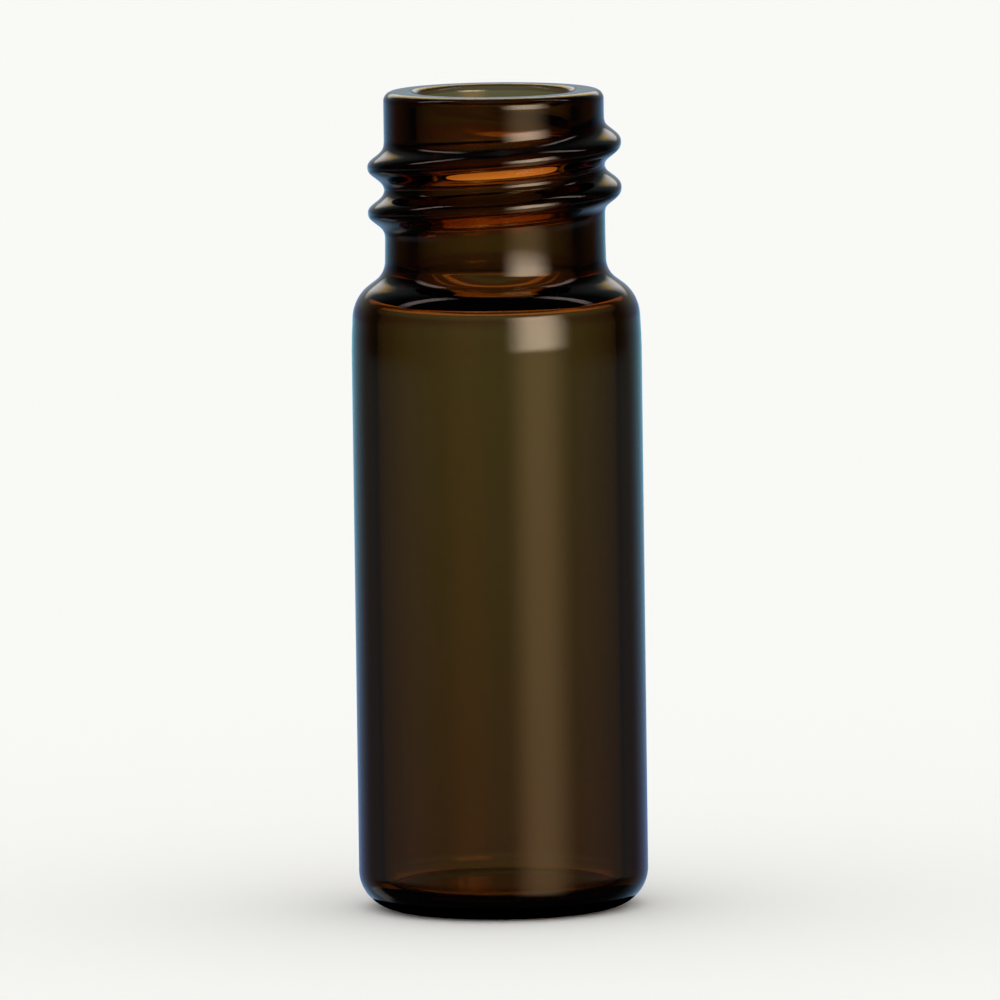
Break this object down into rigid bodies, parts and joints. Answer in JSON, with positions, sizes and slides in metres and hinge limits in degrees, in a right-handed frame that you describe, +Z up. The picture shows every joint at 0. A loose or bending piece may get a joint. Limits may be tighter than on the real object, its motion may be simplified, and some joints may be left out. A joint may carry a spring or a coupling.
{
  "type": "glass sample vial",
  "caption": "Small amber glass vial with a round flat-footed body, a rounded shoulder and an open screw-thread neck, for holding a liquid sample.",
  "frame": {"origin": "centre of the foot, on the surface the vial stands on", "axes": "+Z up the vial's axis, out of its mouth; +X towards the side where the thread's last full-height crest is"},
  "size_m": [0.0116, 0.0116, 0.0325],
  "materials": {
    "amber_glass": "clear amber, fire-polished"
  },
  "bodies": {
    "root": {"vial": "amber_glass"}
  },
  "joints": []
}
